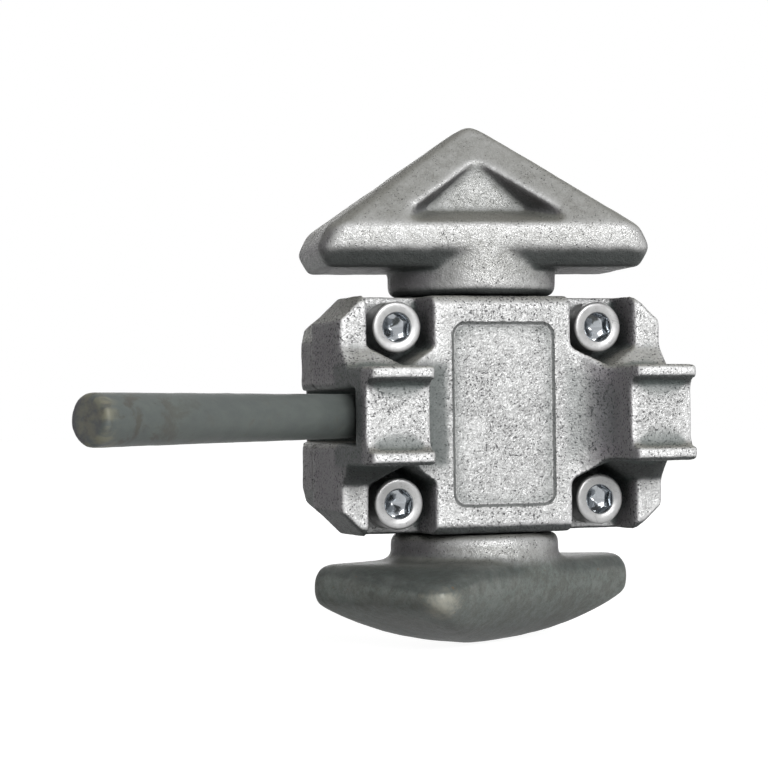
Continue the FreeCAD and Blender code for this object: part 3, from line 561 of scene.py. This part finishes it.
def panel_edge(points):
    """1 near the panel's outline, which stays crisp."""
    across = np.maximum(np.abs(points[:, 0]) - (PANEL_HALF_WIDTH - PANEL_CORNER), 0.0)
    along = np.maximum(np.abs(points[:, 2]) - (PANEL_HALF_HEIGHT - PANEL_CORNER), 0.0)
    away = np.abs(np.hypot(across, along) - PANEL_CORNER)
    return 0.85 * fade(away, 2.5, 1.0) * (points[:, 1] < PANEL_FACE_Y)


def all_but_lower_cone(points):
    """1 above the lower cone."""
    return fade(points[:, 2], -48.0, -43.0)


def all_but_upper_cone(points):
    """1 below the upper cone and in its recess, whose floor keeps its crisp outline."""
    below = fade(points[:, 2], 52.0, 46.0)
    recess = fade(np.abs(points[:, 0]), 27.0, 23.0) * fade(points[:, 2], 58.0, 60.0)
    recess = recess * fade(points[:, 2], 84.0, 81.0)
    return np.maximum(below, 0.6 * recess)


soften("front_housing", "front_casting", "housing", voxel=0.68, roundings=[(4, panel_edge)],
       wave=6.0, depth=0.13)
soften("rear_housing", "rear_casting", "housing", voxel=0.7, roundings=[(4, None)], wave=6.0, depth=0.13)
soften("spindle", "spindle_forging", "spindle_unit", voxel=0.76,
       roundings=[(6, None), (14, all_but_upper_cone), (45, all_but_lower_cone)], wave=8.0, depth=0.12)
soften("handle_rod", "handle_bar", "spindle_unit", voxel=0.6, roundings=[(6, None)], wave=9.0, depth=0.10)


# ---------------------------------------------------------------- cap screws
HEAD_RADIUS = 8.0          # lengths in millimetres
HEAD_HEIGHT = 10.0
HEAD_RIM = 0.8             # rounding of the head's front edge
HEAD_BEVEL = 0.3           # bevel of its back edge
KNURL_DEPTH = 0.16
KNURL_START = 1.7
SHANK_RADIUS = 5.0
SOCKET_FLATS = 8.0
SOCKET_DEPTH = 5.5
SOCKET_LEAD = 4.8          # radius of the lead-in round the socket's mouth
DRILL_DEPTH = 2.0          # of the drilled cone below the hexagon
DRILL_RINGS = (1.3, 2.6, 3.8)
THREAD_PITCH = 1.5
THREAD_DEPTH = 0.45
THREAD_LENGTH = 22.0
THREAD_TAIL = 1.0          # plain end behind the last turn
TURN_RINGS = 5             # rings in a turn of the thread
SPOKES = 96                # points round the screw
MIDDLE_RADIUS = 0.02       # of the smallest ring at either end
SHARP_ANGLE = 40.0         # edges over this many degrees stay sharp
SOCKET_TURNS = {"upper_left": 4.0, "upper_right": -7.0, "lower_left": 11.0, "lower_right": 2.0}


def hexagon_radius(angle, flats):
    """Distance from the middle to a hexagon's wall, one corner up."""
    return flats / 2 / math.cos(angle % (math.pi / 3) - math.pi / 6)


def ring(radius):
    return [radius] * SPOKES


def thread_rows(start, angles):
    """Rings of a helical thread whose plain shank ends at start."""
    rows = []
    steps = int(THREAD_LENGTH / THREAD_PITCH * TURN_RINGS)
    for step in range(1, steps):
        depth = start + (THREAD_LENGTH - THREAD_TAIL) * step / steps
        radii = []
        for angle in angles:
            phase = (depth / THREAD_PITCH - angle / (2 * math.pi)) % 1.0
            radii.append(SHANK_RADIUS - THREAD_DEPTH * (1.0 - abs(2.0 * phase - 1.0)))
        rows.append((radii, depth, 0.0, 0.4))
    return rows


def screw_rows(length, turn):
    """Rings from the socket's bottom over the head to the screw's tail: (radii, depth, socket, rim)."""
    angles = [2 * math.pi * i / SPOKES for i in range(SPOKES)]
    six = [hexagon_radius(angle - turn, SOCKET_FLATS) for angle in angles]
    knurl = [HEAD_RADIUS - KNURL_DEPTH * (i % 2) for i in range(SPOKES)]
    bottom = SOCKET_DEPTH + DRILL_DEPTH
    rows = [(ring(MIDDLE_RADIUS), bottom, 1.0, 0.0)]
    rows += [(ring(radius), bottom - radius / 2, 1.0, 0.0) for radius in DRILL_RINGS]
    rows += [
        (six, SOCKET_DEPTH, 1.0, 0.0),
        (six, SOCKET_DEPTH / 2, 1.0, 0.0),
        ([max(radius, SOCKET_LEAD - 0.4) for radius in six], 0.5, 1.0, 0.0),
        (ring(SOCKET_LEAD - 0.05), 0.12, 0.5, 0.0),
        (ring(SOCKET_LEAD + 0.15), 0.0, 0.0, 0.0),
        (ring(HEAD_RADIUS - HEAD_RIM - 0.3), 0.0, 0.0, 0.0),
    ]
    for step in range(1, 7):
        bend = math.radians(15 * step)
        rows.append((ring(HEAD_RADIUS - HEAD_RIM + HEAD_RIM * math.sin(bend)),
                     HEAD_RIM - HEAD_RIM * math.cos(bend), 0.0, step / 6))
    rows += [
        (ring(HEAD_RADIUS), KNURL_START - 0.3, 0.0, 1.0),
        (knurl, KNURL_START, 0.0, 1.0),
        (knurl, HEAD_HEIGHT - 2 * HEAD_BEVEL, 0.0, 1.0),
        (ring(HEAD_RADIUS), HEAD_HEIGHT - HEAD_BEVEL, 0.0, 1.0),
        (ring(HEAD_RADIUS - HEAD_BEVEL), HEAD_HEIGHT, 0.0, 1.0),
        (ring(SHANK_RADIUS + 0.2), HEAD_HEIGHT, 0.0, 1.0),
        (ring(SHANK_RADIUS), HEAD_HEIGHT + 0.3, 0.0, 1.0),
        (ring(SHANK_RADIUS), length - THREAD_LENGTH, 0.0, 0.0),
    ]
    rows += thread_rows(length - THREAD_LENGTH, angles)
    rows += [(ring(SHANK_RADIUS - 1.0), length, 0.0, 0.3), (ring(MIDDLE_RADIUS), length, 0.0, 0.3)]
    return rows, angles


def cap_screw(corner):
    """Socket head cap screw: rounded rim, hexagon socket with a drilled bottom, knurl, cut thread."""
    node = "screw_" + corner
    low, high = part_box(node)
    middle = Vector(((low[0] + high[0]) / 2, low[1], (low[2] + high[2]) / 2))
    rows, angles = screw_rows((high[1] - low[1]) / MM, math.radians(SOCKET_TURNS[corner]))
    points, socket, rim = [], [], []
    for radii, depth, in_socket, on_rim in rows:
        for radius, angle in zip(radii, angles):
            points.append(middle + Vector((radius * math.sin(angle), depth, radius * math.cos(angle))) * MM)
            socket.append(in_socket)
            rim.append(on_rim)
    faces = []
    for row in range(len(rows) - 1):
        for i in range(SPOKES):
            a, b = row * SPOKES + i, row * SPOKES + (i + 1) % SPOKES
            faces.append((a, b, b + SPOKES, a + SPOKES))
    faces += [tuple(reversed(range(SPOKES))), tuple(range((len(rows) - 1) * SPOKES, len(rows) * SPOKES))]
    mesh = bpy.data.meshes.new(node)
    mesh.from_pydata(points, [], faces)
    mesh.update()
    mark(mesh, "socket", socket)
    mark(mesh, "rim", rim)
    stand_for(mesh, node, "cap_" + node, "housing")
    mesh.set_sharp_from_angle(angle=math.radians(SHARP_ANGLE))


for corner in CORNERS:
    cap_screw(corner)


# ---------------------------------------------------------------- camera
CAMERA_YAW = math.radians(19.09)      # looks along +Y, turned towards +X
CAMERA_PITCH = math.radians(-0.62)
CAMERA_ROLL = math.radians(0.71)
CAMERA_DISTANCE = 0.7936              # metres, as are the next two
CAMERA_ASIDE = 0.02866
CAMERA_HEIGHT = 0.01022
CAMERA_LENS = 114.5
SENSOR_WIDTH = 36.0

camera = bpy.data.objects.new("camera", bpy.data.cameras.new("camera"))
bpy.context.scene.collection.objects.link(camera)
bpy.context.scene.camera = camera
camera.data.lens = CAMERA_LENS
camera.data.sensor_width = SENSOR_WIDTH
camera.data.clip_start = 0.01
camera.data.clip_end = 50.0
sin_yaw, cos_yaw = math.sin(CAMERA_YAW), math.cos(CAMERA_YAW)
sin_pitch, cos_pitch = math.sin(CAMERA_PITCH), math.cos(CAMERA_PITCH)
forward = Vector((cos_pitch * sin_yaw, cos_pitch * cos_yaw, -sin_pitch))
right = Vector((cos_yaw, -sin_yaw, 0.0))
up = Vector((sin_pitch * sin_yaw, sin_pitch * cos_yaw, cos_pitch))
spot = -right * CAMERA_ASIDE - forward * CAMERA_DISTANCE + Vector((0.0, 0.0, CAMERA_HEIGHT))
side = right * math.cos(CAMERA_ROLL) - up * math.sin(CAMERA_ROLL)
top = up * math.cos(CAMERA_ROLL) + right * math.sin(CAMERA_ROLL)
camera.matrix_world = Matrix((
    (side.x, top.x, -forward.x, spot.x),
    (side.y, top.y, -forward.y, spot.y),
    (side.z, top.z, -forward.z, spot.z),
    (0.0, 0.0, 0.0, 1.0),
))


# ---------------------------------------------------------------- studio
FLOOR_HALF = 6.0           # metres
FLOOR_GAP = 0.0003         # metres clear of the lower cone's lowest point
WHITE = (1.0, 1.0, 1.0, 1.0)


def seen_directly(sheet):
    """1 for the camera and for what gloss and glass show, 0 for light that falls on things."""
    path = sheet.add("ShaderNodeLightPath")
    return path.part("Is Camera Ray").at_least(path.part("Is Glossy Ray")).at_least(
        path.part("Is Transmission Ray"))


def studio_world():
    """White where it is seen, and a dim light: olive above, teal below and on the right."""
    world = bpy.data.worlds.new("studio")
    bpy.context.scene.world = world
    world.use_nodes = True
    sheet = Sheet(world.node_tree)
    seen = seen_directly(sheet)
    x, _, z = sheet.split(sheet.add("ShaderNodeTexCoord").part("Generated"))
    level = sheet.blend(sheet.step(z, -0.6, 0.8), grey(0.03, 0.86, 1.0, 0.98), grey(0.20, 1.02, 1.0, 0.88))
    sides = sheet.blend(sheet.step(x, -0.8, 0.8), grey(0.10, 1.03, 0.97, 1.10), grey(0.16, 0.9, 1.0, 1.0))
    dim = sheet.blend(0.5, level, sides)
    colour = sheet.blend(seen, dim, WHITE)
    sky = sheet.add("ShaderNodeBackground", None, {"Color": colour, "Strength": 1.0})
    sheet.add("ShaderNodeOutputWorld", None, {"Surface": sky})


def studio_floor():
    """A pale plain floor that looks white and keeps the object's shadow."""
    material = bpy.data.materials.new("studio_floor")
    material.use_nodes = True
    sheet = Sheet(material.node_tree)
    seen = seen_directly(sheet)
    x, y, _ = sheet.split(sheet.place())
    away = sheet.step((x * x + y * y) ** 0.5, 0.2, 1.2)
    glow = sheet.blend(seen, grey(0.0), sheet.blend(away, grey(0.94), WHITE))
    skin = sheet.add("ShaderNodeBsdfPrincipled", None, {
        "Base Color": grey(0.35), "Roughness": 0.9, "Specular IOR Level": 0.0,
        "Emission Color": glow, "Emission Strength": 1.0})
    sheet.add("ShaderNodeOutputMaterial", None, {"Surface": skin})
    mesh = bpy.data.meshes.new("floor")
    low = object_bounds()[0][2] - FLOOR_GAP
    square = ((-1, -1), (1, -1), (1, 1), (-1, 1))
    mesh.from_pydata([(FLOOR_HALF * x, FLOOR_HALF * y, low) for x, y in square], [], [(0, 1, 2, 3)])
    mesh.materials.append(material)
    floor = bpy.data.objects.new("floor", mesh)
    bpy.context.scene.collection.objects.link(floor)
    floor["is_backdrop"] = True


def softbox(name, place, width, height, power, colour=(1.0, 1.0, 1.0)):
    """A rectangular lamp that looks at the object's middle."""
    lamp = bpy.data.lights.new(name, "AREA")
    lamp.shape = "RECTANGLE"
    lamp.size = width
    lamp.size_y = height
    lamp.energy = power
    lamp.color = colour
    thing = bpy.data.objects.new(name, lamp)
    thing.location = place
    thing.rotation_euler = (-Vector(place)).to_track_quat("-Z", "Y").to_euler()
    thing.visible_camera = False
    bpy.context.scene.collection.objects.link(thing)


studio_world()
studio_floor()
softbox("key", (0.10, -1.28, 0.46), width=0.7, height=0.6, power=14.5)
softbox("top", (0.1, -0.1, 1.3), width=0.9, height=0.9, power=1.0, colour=(1.0, 1.0, 0.93))
softbox("rear", (0.4, 1.3, 0.10), width=0.8, height=0.8, power=6.0)

bpy.context.scene.view_settings.view_transform = "Standard"
